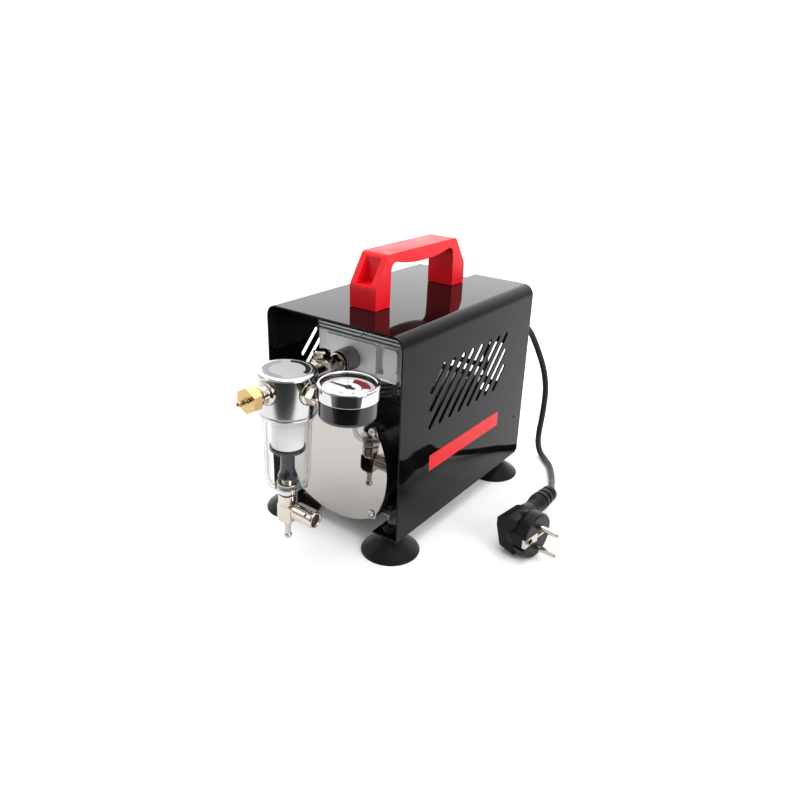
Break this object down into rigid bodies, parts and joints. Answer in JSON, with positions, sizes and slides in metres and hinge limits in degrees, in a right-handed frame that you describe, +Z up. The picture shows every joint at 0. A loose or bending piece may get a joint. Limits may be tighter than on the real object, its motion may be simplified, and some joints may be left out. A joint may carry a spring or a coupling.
{
  "type": "airbrush compressor",
  "caption": "Small piston compressor for airbrushes in an open black sheet housing with a carrying handle, suction feet, a moisture trap with drain and a pressure gauge in front.",
  "frame": {"origin": "centre of the footprint of the compressor without its cord and plug, on the surface it stands on", "axes": "+X towards the gauge side, +Y towards the back with the cord, +Z up; the open front with the moisture trap faces -Y"},
  "size_m": [0.2504, 0.3501, 0.2294],
  "materials": {
    "black_enamel": "high gloss black enamel on sheet steel",
    "red_plastic": "semi-gloss moulded red plastic",
    "black_rubber": "soft black rubber with a faint sheen",
    "black_plastic": "satin black moulded plastic",
    "cord_pvc": "smooth dark grey flexible sheath",
    "black_casting": "black painted aluminium casting",
    "mirror_steel": "mirror polished stainless sheet",
    "steel": "plain bright steel",
    "dark_steel": "darkened steel",
    "crank_steel": "machined steel",
    "grey_casting": "light grey matt aluminium casting",
    "grey_paint": "light grey sheet steel",
    "polished_aluminium": "turned and polished aluminium",
    "nickel": "warm nickel plate on brass",
    "chrome": "bright chrome plate",
    "brass": "machined brass",
    "copper": "enamelled copper wire",
    "clear_plastic": "clear polycarbonate",
    "gauge_glass": "clear glass",
    "label_print": "grey printed disc",
    "dial_print": "white dial with black marks and a red zone",
    "pointer_paint": "black painted pointer",
    "filter_white": "white sintered filter",
    "seal_dark": "dark filled PTFE ring",
    "fan_grey": "grey moulded fan"
  },
  "bodies": {
    "housing": {"housing_shell": "black_enamel", "rear_panel": "black_enamel", "foot_front_left": "black_rubber", "foot_front_right": "black_rubber", "foot_rear_left": "black_rubber", "foot_rear_right": "black_rubber", "handle": "red_plastic", "switch_frame": "black_plastic", "baffle_stem": "black_plastic", "gauge_case": "black_plastic", "cord_gland": "black_plastic", "plug_body": "black_plastic", "mount_rail_left": "grey_paint", "mount_rail_right": "grey_paint", "crankcase": "black_casting", "crankcase_cover": "mirror_steel", "cover_screw_1": "steel", "cover_screw_2": "steel", "cover_screw_3": "steel", "cover_screw_4": "steel", "head_screw_1": "steel", "head_screw_2": "steel", "head_screw_3": "steel", "head_screw_4": "steel", "valve_plate": "steel", "bearing_front": "steel", "bearing_rear": "steel", "trap_head": "polished_aluminium", "motor_end_bell": "polished_aluminium", "cylinder": "dark_steel", "motor_stator": "dark_steel", "cylinder_head": "grey_casting", "motor_winding": "copper", "outlet_fitting": "nickel", "tee_body": "nickel", "tee_plug": "nickel", "drain_valve_body": "nickel", "outlet_adaptor": "nickel", "gauge_stem": "nickel", "trap_label_disc": "label_print", "trap_bowl": "clear_plastic", "filter_element": "filter_white", "bowl_ring": "chrome", "gauge_bezel": "chrome", "plug_pin_1": "chrome", "plug_pin_2": "chrome", "earth_contact": "chrome", "outlet_nut": "brass", "gauge_dial": "dial_print", "gauge_lens": "gauge_glass", "power_cord": "cord_pvc"},
    "rotor": {"crank_disc": "crank_steel", "rotor_core": "steel", "motor_shaft": "steel", "cooling_fan": "fan_grey"},
    "piston": {"connecting_rod_piston": "polished_aluminium", "piston_seal": "seal_dark"},
    "knob": {"drain_knob": "nickel"},
    "needle": {"gauge_pointer": "pointer_paint"},
    "rocker": {"rocker_switch": "black_plastic"}
  },
  "joints": [
    {"name": "motor_spin", "type": "hinge", "parent": "housing", "child": "rotor", "pos_m": [0, -0.0003, 0.0661], "axis": [0, 1, 0], "continuous": true},
    {"name": "piston_stroke", "type": "slide", "parent": "housing", "child": "piston", "axis": [0, 0, 1], "range_m": [0, 0.006]},
    {"name": "drain_knob_turn", "type": "hinge", "parent": "housing", "child": "knob", "pos_m": [-0.00519, -0.1064, 0.04508], "axis": [0.9993, 0, -0.0384], "range_deg": [0, 270]},
    {"name": "gauge_needle_turn", "type": "hinge", "parent": "housing", "child": "needle", "pos_m": [0.05593, -0.1064, 0.16162], "axis": [-0.0384, 0, -0.9993], "range_deg": [0, 270], "stiffness_Nm_per_rad": 0.00002},
    {"name": "switch_rock", "type": "hinge", "parent": "housing", "child": "rocker", "pos_m": [0.012, 0.1312, 0.1408], "axis": [1, 0, 0], "range_deg": [0, 20]}
  ]
}
